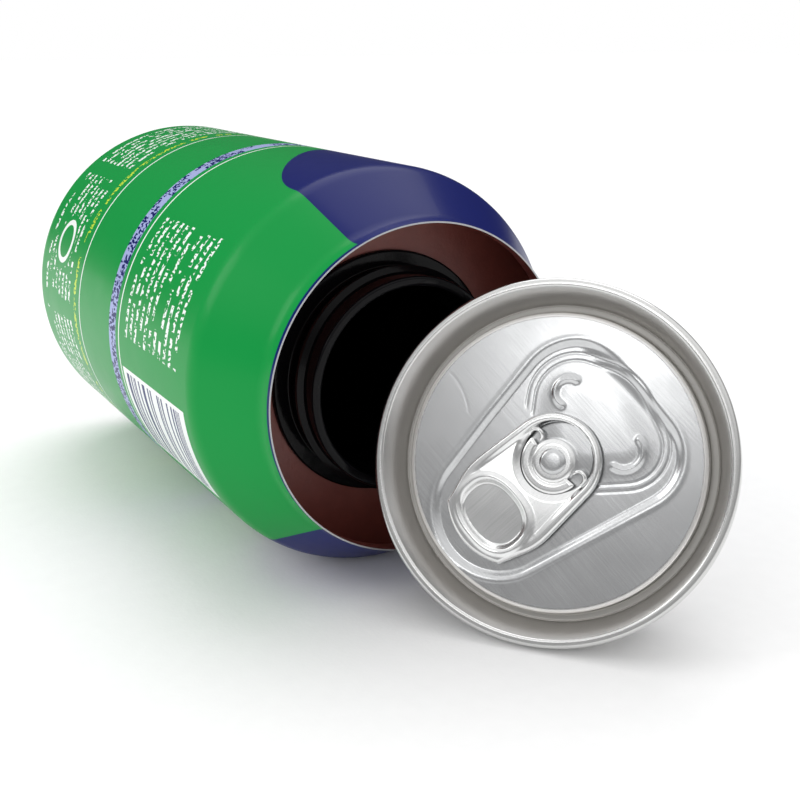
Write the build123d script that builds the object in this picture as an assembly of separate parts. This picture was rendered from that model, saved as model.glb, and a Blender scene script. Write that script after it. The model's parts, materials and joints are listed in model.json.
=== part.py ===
"""Drinks can with a hidden screw-top compartment, lying on its side with its lid off.

Millimetres. +X runs along the can's axis from the base to the mouth, +Z is up.
The origin is the centre of the stand ring, on the can's axis.
"""
import os
from math import atan2, cos, radians, sin, tan

from build123d import *

os.makedirs("parts", exist_ok=True)

# --- can body: the shell of a 330 ml can with its top cut off at the neck ---
can_height = 110.0
can_radius = 33.0
mouth_radius = 26.1
shell_wall = 0.25
neck_straight = 1.5
neck_round = 4.4
shoulder_round = 6.0
shoulder_angle = 32.5
chime_angle = 50.0
chime_round = 7.0
stand_outer = 25.3
stand_inner = 22.7
stand_round = 1.5
base_wall_height = 4.0
dome_edge_round = 1.5
dome_depth = 10.0
dome_knee = 9.0
dome_round = 42.0

# --- can end: a stamped end with its seam, cut off with a ring of the can's neck ---
end_wall = 0.22
seam_overhang = 0.9
seam_height = 2.5
seam_thickness = 1.32
seam_inner_round = 0.45
seam_outer_round = 0.5
hook_round = 0.33
hook_offset = 0.8
hook_height = 1.5
countersink_depth = 6.8
countersink_width = 1.3
countersink_round = 0.45
panel_depth = 4.4
panel_inset = 3.7
panel_round = 0.6
panel_draft = 0.1
ring_wall = 0.15
ring_top_depth = 0.5
ring_stick_out = 0.3
ring_round = 0.25
body_hook_length = 1.4
body_hook_offset = 0.7
compound_gap = 0.04
compound_inset = 0.15

# --- pull tab and its rivet, on the end's panel ---
tab_turn = 48.0
tab_lift_gap = 0.9
tab_thickness = 1.3
tab_web = 0.4
tab_rim = 1.7
tab_tail = 18.2
tab_nose_radius = 7.3
tab_shoulder_half = 8.2
tab_shoulder_back = 10.0
tab_shoulder_round = 4.0
tab_corner_back = 16.1
tab_corner_out = 6.2
pad_centre_back = 11.9
pad_length = 8.5
pad_width = 11.0
pad_corner = 3.6
pad_bead_out = 0.6
pad_bead_in = 0.4
pad_bead_height = 1.04
window_radius = 5.3
tongue_radius = 3.7
tongue_half_width = 2.9
tongue_sheet = 0.3
crease_back = 4.4
crease_gap = 0.15
rivet_shank = 1.9
rivet_fit = 0.05
rivet_head = 2.9
rivet_head_height = 0.45
rivet_gap = 0.06
boss_radius = 3.4

# --- screw cap glued under the end, its liner, and the glue ---
glue_thickness = 0.25
glue_radius = 12.0
cap_top = 1.1
cap_wall = 1.9
cap_edge_round = 0.6
cap_skirt_gap = 0.6
liner_thickness = 0.7
liner_gap = 0.1
liner_side_gap = 0.3

# --- inner jar: threaded neck, support flange and body ---
neck_inset = 8.9
neck_wall = 1.6
rim_round = 0.5
thread_height = 0.9
thread_root = 1.8
thread_crest = 0.7
thread_pitch = 4.0
thread_turns = 1.25
thread_lead = 1.9
thread_bite = 0.2
thread_gap = 0.2
flange_reach = 2.7
flange_drop = 7.6
flange_thickness = 1.5
jar_fit = 0.85
jar_wall = 1.5
jar_shoulder = 2.6
jar_base_round = 3.0
jar_base_gap = 3.5

# --- cast filler round the jar ---
filler_step = 1.0
filler_gap = 0.03

# --- how the loose lid stands: its edge on the floor, its cap leaning into the mouth ---
lid_reach = 8.204
lid_aside = 9.2
lid_azimuth = -50.4
lid_lean = 20.5

# Places that follow from the sizes above. Heights on the lid are measured from the seam's top.
floor = -can_radius
seam_radius = mouth_radius + seam_overhang
panel_radius = mouth_radius - panel_inset
neck_radius = mouth_radius - neck_inset
panel_under = panel_depth + end_wall
ring_foot = seam_height + ring_stick_out
cap_roof = panel_under + glue_thickness
liner_top = cap_roof + cap_top + liner_gap
cap_seat = liner_top + liner_thickness
rim_x = can_height - (cap_seat - ring_foot)
flange_depth = panel_depth + flange_drop
filler_depth = flange_depth + filler_step
flange_x = can_height - flange_depth
flange_radius = neck_radius + flange_reach
neck_bore = neck_radius - neck_wall
jar_radius = mouth_radius - shell_wall - jar_fit
jar_base = dome_depth + shell_wall + jar_base_gap
cap_foot = cap_seat + (rim_x - flange_x) - cap_skirt_gap
thread_radius = neck_radius + thread_height
cap_bore = thread_radius + thread_gap
cap_radius = cap_bore + cap_wall
tab_floor = -panel_depth + tab_lift_gap
tongue_floor = tab_floor + tab_web / 2
rivet_head_floor = tongue_floor + tongue_sheet + rivet_gap
lid_ahead = seam_radius * sin(radians(-lid_azimuth)) + can_radius - mouth_radius - lid_reach


def export(node, shape):
    """Write one sub-part to its own file."""
    export_step(shape, f"parts/{node}.step")


def sheet(points, radii, wall):
    """Face of an evenly thick sheet on the right-hand side of a line with rounded corners."""
    path = FilletPolyline(*points, radius=radii)
    return make_face(offset(path, amount=wall, side=Side.RIGHT))


def shell_line():
    """Outer skin of the can from the mouth to the middle of the dome, as axial place and radius."""
    neck_corner = can_height - neck_straight - neck_round * tan(radians(shoulder_angle / 2))
    shoulder_run = (can_radius - mouth_radius) / tan(radians(shoulder_angle))
    chime_run = (can_radius - stand_outer) / tan(radians(chime_angle))
    points = [
        (can_height, mouth_radius),
        (neck_corner, mouth_radius),
        (neck_corner - shoulder_run, can_radius),
        (chime_run, can_radius),
        (0, stand_outer),
        (0, stand_inner),
        (base_wall_height, stand_inner),
        (dome_depth, dome_knee),
        (dome_depth, 0),
    ]
    radii = [neck_round, shoulder_round, chime_round, stand_round, stand_round, dome_edge_round, dome_round]
    return points, radii


def can_shell():
    """Thin drawn shell, open at the mouth."""
    points, radii = shell_line()
    line = FilletPolyline(*points, radius=radii)
    wall = make_face(offset(line, amount=shell_wall, side=Side.LEFT))
    return revolve(wall, Axis.X)


def jar_outline():
    """Section of the jar's outside, filled to the axis."""
    shoulder_foot = flange_x - flange_thickness - jar_shoulder
    body = Pos((jar_base + shoulder_foot) / 2, 0) * Rectangle(shoulder_foot - jar_base, 2 * jar_radius)
    body = fillet(body.vertices().filter_by_position(Axis.X, jar_base - 1, jar_base + 1), jar_base_round)
    low = (shoulder_foot, jar_radius)
    high = (flange_x - flange_thickness, neck_radius)
    shoulder = Polyline((low[0], 0), low, (high[0], high[1]), (high[0], 0), close=True)
    flange = Pos(flange_x - flange_thickness / 2, 0) * Rectangle(flange_thickness, 2 * flange_radius)
    neck = Pos((rim_x + shoulder_foot) / 2, 0) * Rectangle(rim_x - shoulder_foot, 2 * neck_radius)
    whole = body + make_face(shoulder) + flange + neck
    return whole & Pos(can_height / 2, can_radius) * Rectangle(2 * can_height, 2 * can_radius)


def jar_hollow():
    """Section of the jar's inside, filled to the axis."""
    inside_base = jar_base + jar_wall
    inside_top = flange_x - flange_thickness - jar_shoulder - jar_wall / 2
    inner_radius = jar_radius - jar_wall
    points = [
        (inside_base, 0),
        (inside_base, inner_radius),
        (inside_top, inner_radius),
        (inside_top + jar_shoulder, neck_bore),
        (rim_x + 1, neck_bore),
        (rim_x + 1, 0),
    ]
    return make_face(Polyline(*points, close=True))


def thread(root_radius, crest_radius, start, away):
    """One screw ridge on the Z axis, from its root cylinder to its crest, bitten into the wall."""
    root = root_radius - away * thread_bite
    helix = Helix(pitch=thread_pitch, height=thread_pitch * thread_turns, radius=root)
    section = Polyline(
        (0, -thread_root / 2),
        (away * (abs(crest_radius - root)), -thread_crest / 2),
        (away * (abs(crest_radius - root)), thread_crest / 2),
        (0, thread_root / 2),
        close=True,
    )
    place = Plane(origin=helix @ 0, x_dir=(1, 0, 0), z_dir=helix % 0)
    ridge = sweep(place * make_face(section), path=helix, is_frenet=True)
    return Pos(0, 0, start) * ridge


def inner_jar():
    """Jar with a screw thread on its neck and a support flange under it."""
    jar = revolve(jar_outline() - jar_hollow(), Axis.X)
    rim = jar.edges().filter_by(GeomType.CIRCLE).group_by(Axis.X)[-1]
    jar = fillet(rim, rim_round)
    low = rim_x - thread_lead - thread_pitch * thread_turns
    ridge = thread(neck_radius, thread_radius, low, 1)
    return jar + Rot(0, 90, 0) * ridge


def filler_cast():
    """Cast filler between the shell and the jar, poured to just below the jar's flange."""
    points, radii = shell_line()
    line = FilletPolyline(*points, radius=radii)
    skin = offset(line, amount=shell_wall + filler_gap, side=Side.LEFT, closed=False)
    ends = [skin @ 0, skin @ 1]
    mouth = max(ends, key=lambda end: end.X)
    centre = min(ends, key=lambda end: end.X)
    inside = make_face(skin.edges() + [Line(mouth, (mouth.X, 0)), Line((mouth.X, 0), centre)])
    level = can_height - filler_depth
    below = Pos(level - can_height, 0) * Rectangle(2 * can_height, 4 * can_radius)
    jar_room = jar_outline()
    return revolve((inside & below) - jar_room, Axis.X)


def rivet():
    """Rivet of the tab: boss, shank and flattened head."""
    boss_top = tongue_floor - rivet_gap
    boss = extrude(Circle(boss_radius), boss_top + panel_depth + end_wall / 2)
    boss = Pos(0, 0, -panel_depth - end_wall / 2) * boss
    shank = Pos(0, 0, boss_top) * extrude(Circle(rivet_shank), rivet_head_floor - boss_top + rivet_gap)
    head = Pos(0, 0, rivet_head_floor) * extrude(Circle(rivet_head), rivet_head_height)
    return boss + shank + head


def can_end():
    """Stamped end: panel, countersink, chuck wall and seam, with the rivet drawn up from it."""
    seam_inner = seam_radius - seam_thickness
    hook_radius = seam_radius - hook_offset
    countersink = panel_radius + panel_draft
    points = [
        (0, -panel_depth),
        (panel_radius, -panel_depth),
        (countersink, -countersink_depth),
        (countersink + countersink_width, -countersink_depth),
        (seam_inner, 0),
        (seam_radius, 0),
        (seam_radius, -seam_height),
        (hook_radius, -seam_height),
        (hook_radius, hook_height - seam_height),
    ]
    radii = [
        panel_round,
        countersink_round,
        countersink_round,
        seam_inner_round,
        seam_outer_round,
        hook_round,
        hook_round,
    ]
    return revolve(Plane.XZ * sheet(points, radii, end_wall), Axis.Z) + rivet()


def neck_ring():
    """Ring of the can's own neck that stays hooked inside the seam."""
    inner = mouth_radius - ring_wall
    outer = inner + body_hook_offset
    points = [
        (inner, -ring_foot),
        (inner, -ring_top_depth),
        (outer, -ring_top_depth),
        (outer, -ring_top_depth - body_hook_length),
    ]
    return revolve(Plane.XZ * sheet(points, [ring_round, ring_round], ring_wall), Axis.Z)


def seam_compound():
    """Sealing compound between the end's curl and the neck ring."""
    inner = mouth_radius - ring_wall + compound_inset
    outer = inner + body_hook_offset - 2 * compound_inset
    height = ring_top_depth - end_wall - 2 * compound_gap
    section = Pos((inner + outer) / 2, -ring_top_depth + compound_gap + height / 2) * Rectangle(outer - inner, height)
    return revolve(Plane.XZ * section, Axis.Z)


def screw_cap():
    """Screw cap, open downwards, with one screw ridge inside its skirt."""
    outside = Pos(0, 0, -cap_foot) * extrude(Circle(cap_radius), cap_foot - cap_roof)
    outside = fillet(outside.edges().group_by(Axis.Z)[-1], cap_edge_round)
    hollow = Pos(0, 0, -cap_foot) * extrude(Circle(cap_bore), cap_foot - cap_roof - cap_top)
    ridge_foot = -(cap_foot - thread_root / 2 - thread_gap)
    ridge = thread(cap_bore, neck_radius + thread_gap, ridge_foot, -1)
    return outside - hollow + ridge


def cap_liner():
    """Loose sealing disc in the cap, which seals on the jar's rim."""
    return Pos(0, 0, -cap_seat) * extrude(Circle(thread_radius - liner_side_gap), liner_thickness)


def cap_adhesive():
    """Disc of glue that holds the cap under the end's panel."""
    return Pos(0, 0, -cap_roof) * extrude(Circle(glue_radius), glue_thickness)


def tab_outline():
    """Outline of the pull tab: pointed corners at the tail, round nose. +X is towards the nose."""
    spread = atan2(tab_shoulder_half - tab_nose_radius, tab_shoulder_back)
    tangent = (tab_nose_radius * sin(spread), tab_nose_radius * cos(spread))
    shoulder = (-tab_shoulder_back, tangent[1] + (tab_shoulder_back + tangent[0]) * tan(spread))
    side = [(-tab_corner_back, tab_corner_out), shoulder, tangent]
    left = FilletPolyline(*side, radius=tab_shoulder_round)
    right = FilletPolyline(*[(x, -y) for x, y in reversed(side)], radius=tab_shoulder_round)
    nose = ThreePointArc(left @ 1, (tab_nose_radius, 0), right @ 0)
    tail = ThreePointArc(right @ 1, (-tab_tail, 0), left @ 0)
    return make_face(left.edges() + [nose] + right.edges() + [tail])


def finger_pad():
    """Outline of the pressed finger pad in the tab's tail."""
    return Pos(-pad_centre_back, 0) * RectangleRounded(pad_length, pad_width, pad_corner)


def tab_lever():
    """Pull tab: thin web inside a thick curled rim, with a window for the tongue."""
    outline = tab_outline()
    core = offset(outline, amount=-tab_rim)
    rim = extrude(outline - core, tab_thickness)
    web = extrude(core, tab_web)
    pad_ring = offset(finger_pad(), amount=pad_bead_out) - offset(finger_pad(), amount=-pad_bead_in)
    pad_rim = extrude(pad_ring, pad_bead_height) & extrude(outline, tab_thickness)
    window = Pos(0, 0, -1) * extrude(Circle(window_radius), tab_thickness + 2)
    lever = rim + web + pad_rim - window
    return Pos(0, 0, tab_floor) * lever


def tab_tongue():
    """Tongue under the rivet's head, which the tab bends up from at its crease."""
    strip_length = crease_back + crease_gap
    disc = Circle(tongue_radius)
    strip = Pos(-strip_length / 2, 0) * Rectangle(strip_length, 2 * tongue_half_width)
    tongue = (disc + strip) & Circle(window_radius - crease_gap)
    plate = extrude(tongue - Circle(rivet_shank + rivet_fit), tongue_sheet)
    return Pos(0, 0, tongue_floor) * plate


def lid_place():
    """Where the loose lid stands: centre of its seam's top, facing out along its normal."""
    azimuth = radians(lid_azimuth)
    lean = radians(lid_lean)
    normal = (cos(lean) * cos(azimuth), cos(lean) * sin(azimuth), sin(lean))
    height = floor + seam_radius * cos(lean) + seam_height * sin(lean)
    centre = (can_height + lid_ahead, lid_aside, height)
    return Plane(origin=centre, x_dir=(-sin(azimuth), cos(azimuth), 0), z_dir=normal).location


lid = lid_place()
tab = lid * Rot(0, 0, tab_turn)

export("can_shell", can_shell())
export("inner_jar", inner_jar())
export("filler_cast", filler_cast())
export("can_end", lid * can_end())
export("neck_ring", lid * neck_ring())
export("seam_compound", lid * seam_compound())
export("screw_cap", lid * screw_cap())
export("cap_adhesive", lid * cap_adhesive())
export("cap_liner", lid * cap_liner())
export("tab_tongue", tab * tab_tongue())
export("tab_lever", tab * tab_lever())
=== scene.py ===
"""Drinks can with a hidden screw-top compartment, with its lid standing in front of the mouth."""

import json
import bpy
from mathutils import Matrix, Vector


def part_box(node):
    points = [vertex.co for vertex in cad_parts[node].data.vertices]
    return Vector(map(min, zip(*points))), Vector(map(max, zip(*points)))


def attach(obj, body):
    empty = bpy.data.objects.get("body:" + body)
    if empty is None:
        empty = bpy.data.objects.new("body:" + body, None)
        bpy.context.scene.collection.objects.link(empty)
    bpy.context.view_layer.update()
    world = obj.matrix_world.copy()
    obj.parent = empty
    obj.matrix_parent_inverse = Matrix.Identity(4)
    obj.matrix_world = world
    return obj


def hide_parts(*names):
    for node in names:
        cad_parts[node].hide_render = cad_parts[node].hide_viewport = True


bl_info = {
    "name": "Hidden-compartment can",
    "version": (1, 0, 0),
    "blender": (4, 5, 0),
    "location": "View3D > Sidebar > Can",
    "description": "Builds the looks of a printed can, its threaded jar and its pull-tab lid",
    "category": "Object",
}

from math import asin, atan2, ceil, cos, hypot, pi, radians, sin, tan

import bpy
import numpy as np
from mathutils import Matrix, Vector

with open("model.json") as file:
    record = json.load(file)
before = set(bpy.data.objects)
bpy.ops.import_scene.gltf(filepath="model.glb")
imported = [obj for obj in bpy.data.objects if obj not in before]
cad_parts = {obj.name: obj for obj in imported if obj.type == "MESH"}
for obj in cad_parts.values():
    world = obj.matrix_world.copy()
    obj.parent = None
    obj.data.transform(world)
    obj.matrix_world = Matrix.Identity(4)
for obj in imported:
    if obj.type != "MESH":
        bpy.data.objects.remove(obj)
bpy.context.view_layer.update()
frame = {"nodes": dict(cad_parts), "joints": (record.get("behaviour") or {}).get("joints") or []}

MM = 0.001
SHELL_LOW, SHELL_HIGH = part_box("can_shell")
JAR_LOW, JAR_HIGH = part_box("inner_jar")

# --- can and jar, in millimetres: axial places are measured from the stand ring ---
CAN_HEIGHT = SHELL_HIGH.x / MM
CAN_RADIUS = SHELL_HIGH.y / MM
MOUTH_RADIUS = 26.1
SHELL_WALL = 0.25
BARE_HEIGHT = 6.0
BARE_RADIUS = 24.0
STAND_INNER = 22.7
STAND_OUTER = 25.3
STAND_RISE = 4
DOME_HEIGHT = 10
DOME_FLAT = 9
SHOULDER_ANGLE = radians(32.5)
SHOULDER_ROUND = 4.4
NECK_LIP = 1.5
CHIME_ANGLE = radians(50)
RIM_X = JAR_HIGH.x / MM
FLANGE_X = CAN_HEIGHT - 12.0
FLANGE_THICK = 1.5
FLANGE_RADIUS = 19.9
NECK_RADIUS = 17.2
NECK_BORE = 15.6
JAR_RADIUS = 25.0
JAR_WALL = 1.5
JAR_SHOULDER = 2.6

# --- print, in millimetres ---
TEXT_ROW = 2.4
PIN_LINE_WIDTH = 0.75

# --- screw thread of the jar and the cap ---
PITCH = 4.0
TURNS = 1.25
RIDGE_FOOT = 1.8
RIDGE_TIP = 0.7
RIDGE_BITE = 0.2
RUN_OUT = 6.0
JAR_CREST = 18.1
JAR_RIDGE_DROP = 6.9
CAP_CREST = 17.4
CAP_RIDGE_LIFT = 1.1

# --- lid: heights are measured from the top of its seam ---
SEAM_RADIUS = 27.0
SEAM_WIDTH = 1.32
SEAM_HEIGHT = 2.5
END_WALL = 0.22
SEAM_HOOK = 26.2
PANEL_WALL = 22.4
GROOVE_INNER = 22.5
GROOVE_OUTER = 23.8
GROOVE_FLOOR = -6.8
PANEL_TOP = -4.0
PANEL_UNDERSIDE = -4.61
PANEL_EDGE = 21.75
CAP_ROOF = 4.87
CAP_TOP = 1.1
CAP_FOOT = 14.23
CAP_RADIUS = 20.2
CAP_BORE = 18.3
RIB_DEPTH = 0.35
RIB_TOP = -7.5
RIB_FOOT = -12.9
TAB_FLOOR = -3.5
TAB_TOP = -2.2
TONGUE_UNDERSIDE = -3.28
TONGUE_TOP = -3.0
LINER_DROP = 6.4


def joint(name):
    """The record's joint of that name."""
    return next(j for j in frame["joints"] if j["name"] == name)


def lid_frames():
    """Places of the lid and of its tab: X and Y lie in the panel, Z points out along the lid's normal."""
    turn = joint("lid_turn")
    normal = Vector(turn["axis"]).normalized()
    centre = Vector(turn["pos_m"]) + normal * LINER_DROP * MM
    across = Vector((-normal.y, normal.x, 0)).normalized()
    up = normal.cross(across)
    lid = Matrix.Translation(centre) @ Matrix((across, up, normal)).transposed().to_4x4()
    towards_nose = Vector(joint("tab_lift")["axis"]).cross(normal)
    angle = atan2(towards_nose.dot(up), towards_nose.dot(across))
    return lid, lid @ Matrix.Rotation(angle, 4, "Z")


LID, TAB = lid_frames()
CAN = Matrix(((0, 0, 1, 0), (0, 1, 0, 0), (-1, 0, 0, 0), (0, 0, 0, 1)))


# --- modelling helpers ---


def deselect_all():
    """Back to object mode with nothing selected."""
    if bpy.context.mode != "OBJECT":
        bpy.ops.object.mode_set(mode="OBJECT")
    bpy.ops.object.select_all(action="DESELECT")


def edit(kind="VERT"):
    """Into edit mode with one kind of element."""
    bpy.ops.object.mode_set(mode="EDIT")
    bpy.ops.mesh.select_mode(type=kind)


def select_open_edges():
    """In edit mode, selects just the edges round holes."""
    bpy.ops.mesh.select_all(action="DESELECT")
    bpy.ops.mesh.select_non_manifold(
        use_wire=False, use_multi_face=False, use_non_contiguous=False, use_verts=False
    )


def face_outwards():
    """In edit mode, turns every face outwards, and goes back to object mode."""
    bpy.ops.mesh.select_all(action="SELECT")
    bpy.ops.mesh.normals_make_consistent(inside=False)
    deselect_all()


def rounded(points, radii, steps=7):
    """Line through points whose inner corners are rounded to the radii."""
    line = [points[0]]
    for before, corner, after, radius in zip(points, points[1:], points[2:], radii):
        a = Vector(before) - Vector(corner)
        b = Vector(after) - Vector(corner)
        half = a.angle(b) / 2
        reach = radius / tan(half)
        bisector = (a.normalized() + b.normalized()).normalized()
        centre = Vector(corner) + bisector * radius / sin(half)
        start = Vector(corner) + a.normalized() * reach - centre
        sweep = start.angle_signed(Vector(corner) + b.normalized() * reach - centre)
        count = max(3, ceil(steps * abs(sweep) / (pi / 2)))
        for i in range(count + 1):
            line.append(tuple(centre + start @ Matrix.Rotation(sweep * i / count, 2)))
    line.append(points[-1])
    return line


def turned(name, line, segments):
    """Surface turned about Z from a line of (radius, height) in millimetres."""
    deselect_all()
    bpy.ops.mesh.primitive_plane_add(size=MM, location=(0, 0, 0))
    piece = bpy.context.object
    piece.name = name
    edit()
    bpy.ops.mesh.select_all(action="SELECT")
    bpy.ops.mesh.merge(type="CENTER")
    bpy.ops.transform.translate(value=(line[0][0] * MM, 0, line[0][1] * MM))
    for (r0, h0), (r1, h1) in zip(line, line[1:]):
        step = ((r1 - r0) * MM, 0, (h1 - h0) * MM)
        bpy.ops.mesh.extrude_region_move(TRANSFORM_OT_translate={"value": step})
    bpy.ops.mesh.select_all(action="SELECT")
    bpy.ops.mesh.spin(steps=segments, angle=2 * pi, center=(0, 0, 0), axis=(0, 0, 1))
    bpy.ops.mesh.select_all(action="SELECT")
    bpy.ops.mesh.remove_doubles(threshold=0.002 * MM)
    face_outwards()
    return piece


def screw_ridge(name, root, crest, low):
    """Screw ridge about Z, right-handed, sunk a little into the wall and run out at both ends."""
    deselect_all()
    bpy.ops.mesh.primitive_plane_add(size=MM, location=(0, 0, 0))
    piece = bpy.context.object
    piece.name = name
    sunk = root - (RIDGE_BITE if crest > root else -RIDGE_BITE)
    half_foot, half_tip = RIDGE_FOOT / 2, RIDGE_TIP / 2
    corners = [(sunk, -half_foot), (crest, -half_tip), (sunk, half_foot), (crest, half_tip)]
    for vertex, (radius, rise) in zip(piece.data.vertices, corners):
        vertex.co = (radius * MM, 0, (low + rise) * MM)
    edit()
    bpy.ops.mesh.select_all(action="SELECT")
    bpy.ops.mesh.delete(type="ONLY_FACE")
    deselect_all()
    screw = piece.modifiers.new("Screw", "SCREW")
    screw.angle = 2 * pi * TURNS
    screw.screw_offset = PITCH * TURNS * MM
    screw.steps = screw.render_steps = ceil(120 * TURNS)
    screw.use_merge_vertices = False
    apply_modifier(piece, screw)
    for vertex in piece.data.vertices:
        place = vertex.co
        radius = hypot(place.x, place.y) / MM
        turn = atan2(place.y, place.x) % (2 * pi) / (2 * pi)
        rise = (place.z / MM - low) / PITCH
        travel = turn + round(rise - turn)
        from_end = min(travel, TURNS - travel) * 2 * pi * root
        keep = min(1, max(0, from_end / RUN_OUT)) ** 0.5
        wanted = sunk + (radius - sunk) * keep
        place.x *= wanted / radius
        place.y *= wanted / radius
    edit("EDGE")
    select_open_edges()
    bpy.ops.mesh.fill()
    face_outwards()
    return piece


def apply_modifier(piece, modifier):
    """Applies one modifier of a piece."""
    bpy.context.view_layer.objects.active = piece
    piece.select_set(True)
    bpy.ops.object.modifier_apply(modifier=modifier.name)


def thicken(piece, thickness, inner_coat=0, rim_coat=0):
    """Gives a surface its wall in millimetres, inwards, with coats counted on from the outer one."""
    wall = piece.modifiers.new("Wall", "SOLIDIFY")
    wall.thickness = thickness * MM
    wall.offset = -1
    wall.material_offset = inner_coat
    wall.material_offset_rim = rim_coat
    apply_modifier(piece, wall)


def joined(pieces):
    """One object from several."""
    deselect_all()
    for piece in pieces:
        piece.select_set(True)
    bpy.context.view_layer.objects.active = pieces[0]
    bpy.ops.object.join()
    deselect_all()
    return pieces[0]


def pressed(name, inside, height, underside, cell, low, high):
    """Pressed sheet: a grid cut to its outline, raised to its relief and closed underneath, in millimetres.

    inside(a, b) is the distance in from the outline, and height(a, b) the relief's height.
    """
    counts = [ceil((high[i] - low[i]) / cell) for i in (0, 1)]
    deselect_all()
    bpy.ops.mesh.primitive_grid_add(x_subdivisions=counts[0], y_subdivisions=counts[1], size=1)
    piece = bpy.context.object
    piece.name = name
    mesh = piece.data
    places = vertices_of(mesh)
    for i in (0, 1):
        places[:, i] = low[i] + (places[:, i] + 0.5) * (high[i] - low[i])
    write_vertices(mesh, places)
    select_vertices(mesh, inside(places[:, 0], places[:, 1]) < 0)
    edit()
    bpy.ops.mesh.delete(type="VERT")
    drop_loose_vertices()
    edge = border(mesh)
    places = vertices_of(mesh)
    step = cell / 20
    for _ in range(4):
        a, b = places[edge, 0], places[edge, 1]
        gap = inside(a, b)
        slope_a = (inside(a + step, b) - inside(a - step, b)) / (2 * step)
        slope_b = (inside(a, b + step) - inside(a, b - step)) / (2 * step)
        size = np.maximum(slope_a**2 + slope_b**2, 0.3)
        places[edge, 0] -= gap * slope_a / size
        places[edge, 1] -= gap * slope_b / size
    places[:, 2] = height(places[:, 0], places[:, 1])
    write_vertices(mesh, places * MM)
    select_vertices(mesh, edge)
    edit("EDGE")
    select_open_edges()
    bpy.ops.mesh.extrude_region_move(TRANSFORM_OT_translate={"value": (0, 0, -MM)})
    bpy.ops.mesh.select_mode(type="VERT")
    bpy.ops.object.mode_set(mode="OBJECT")
    foot = np.array([v.select for v in mesh.vertices])
    places = vertices_of(mesh)
    places[foot, 2] = underside * MM
    write_vertices(mesh, places)
    edit("EDGE")
    bpy.ops.mesh.fill()
    face_outwards()
    return piece


def vertices_of(mesh):
    """Vertex places as an array."""
    places = np.empty(len(mesh.vertices) * 3)
    mesh.vertices.foreach_get("co", places)
    return places.reshape(-1, 3)


def write_vertices(mesh, places):
    """Vertex places from an array."""
    mesh.vertices.foreach_set("co", places.ravel())
    mesh.update()


def select_vertices(mesh, chosen):
    """Selects just the chosen vertices."""
    mesh.edges.foreach_set("select", np.zeros(len(mesh.edges), bool))
    mesh.polygons.foreach_set("select", np.zeros(len(mesh.polygons), bool))
    mesh.vertices.foreach_set("select", chosen)


def drop_loose_vertices():
    """In edit mode, deletes vertices that hold no face, and goes back to object mode."""
    bpy.ops.mesh.select_all(action="DESELECT")
    bpy.ops.mesh.select_loose()
    bpy.ops.mesh.delete(type="VERT")
    bpy.ops.object.mode_set(mode="OBJECT")


def border(mesh):
    """Mask of the vertices on the open edge of a mesh."""
    uses = np.zeros(len(mesh.edges), int)
    sides = np.empty(len(mesh.loops), int)
    mesh.loops.foreach_get("edge_index", sides)
    np.add.at(uses, sides, 1)
    ends = np.empty(len(mesh.edges) * 2, int)
    mesh.edges.foreach_get("vertices", ends)
    mask = np.zeros(len(mesh.vertices), bool)
    mask[ends.reshape(-1, 2)[uses == 1].ravel()] = True
    return mask


def finish_piece(piece, place, body, node, materials, angle=40):
    """Puts a modelled piece in its place, with smooth faces, its materials and its body."""
    piece.data.transform(place)
    piece.data.materials.clear()
    for material in materials:
        piece.data.materials.append(material)
    piece.select_set(True)
    bpy.context.view_layer.objects.active = piece
    bpy.ops.object.shade_smooth_by_angle(angle=radians(angle))
    deselect_all()
    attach(piece, body)
    if node:
        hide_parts(node)
    return piece


# --- distances and reliefs, in millimetres ---


def smooth(value, low, high):
    """0 below low, 1 above high, and a smooth ramp between them."""
    part = np.clip((value - low) / (high - low), 0, 1)
    return part * part * (3 - 2 * part)


def ridge(distance, height, width):
    """Height of a soft ridge whose middle is where the distance is 0."""
    return height * np.exp(-((distance / width) ** 2))


def outside_hull(a, b, circles, directions=240):
    """Distance out from the shape that a band pulled round the circles (a, b, radius) would have."""
    distance = np.full(np.shape(a), -1e9)
    for k in range(directions):
        u, v = cos(2 * pi * k / directions), sin(2 * pi * k / directions)
        reach = max(x * u + y * v + radius for x, y, radius in circles)
        distance = np.maximum(distance, a * u + b * v - reach)
    return distance


def from_line(a, b, points):
    """Distance from a line through points."""
    distance = np.full(np.shape(a), 1e9)
    for (x0, y0), (x1, y1) in zip(points, points[1:]):
        run = hypot(x1 - x0, y1 - y0) ** 2
        part = np.clip(((a - x0) * (x1 - x0) + (b - y0) * (y1 - y0)) / run, 0, 1)
        off_a, off_b = a - x0 - part * (x1 - x0), b - y0 - part * (y1 - y0)
        distance = np.minimum(distance, np.hypot(off_a, off_b))
    return distance


def arc_points(start, through, end, count=14):
    """Points along the circular arc through three points."""
    (x1, y1), (x2, y2), (x3, y3) = start, through, end
    det = 2 * (x1 * (y2 - y3) + x2 * (y3 - y1) + x3 * (y1 - y2))
    s1, s2, s3 = x1**2 + y1**2, x2**2 + y2**2, x3**2 + y3**2
    cx = (s1 * (y2 - y3) + s2 * (y3 - y1) + s3 * (y1 - y2)) / det
    cy = (s1 * (x3 - x2) + s2 * (x1 - x3) + s3 * (x2 - x1)) / det
    angles = [atan2(y - cy, x - cx) for x, y in (start, through, end)]
    turn = (angles[2] - angles[0]) % (2 * pi)
    if (angles[1] - angles[0]) % (2 * pi) > turn:
        turn -= 2 * pi
    radius = hypot(x1 - cx, y1 - cy)
    steps = [angles[0] + turn * i / count for i in range(count + 1)]
    return [(cx + radius * cos(step), cy + radius * sin(step)) for step in steps]


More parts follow.
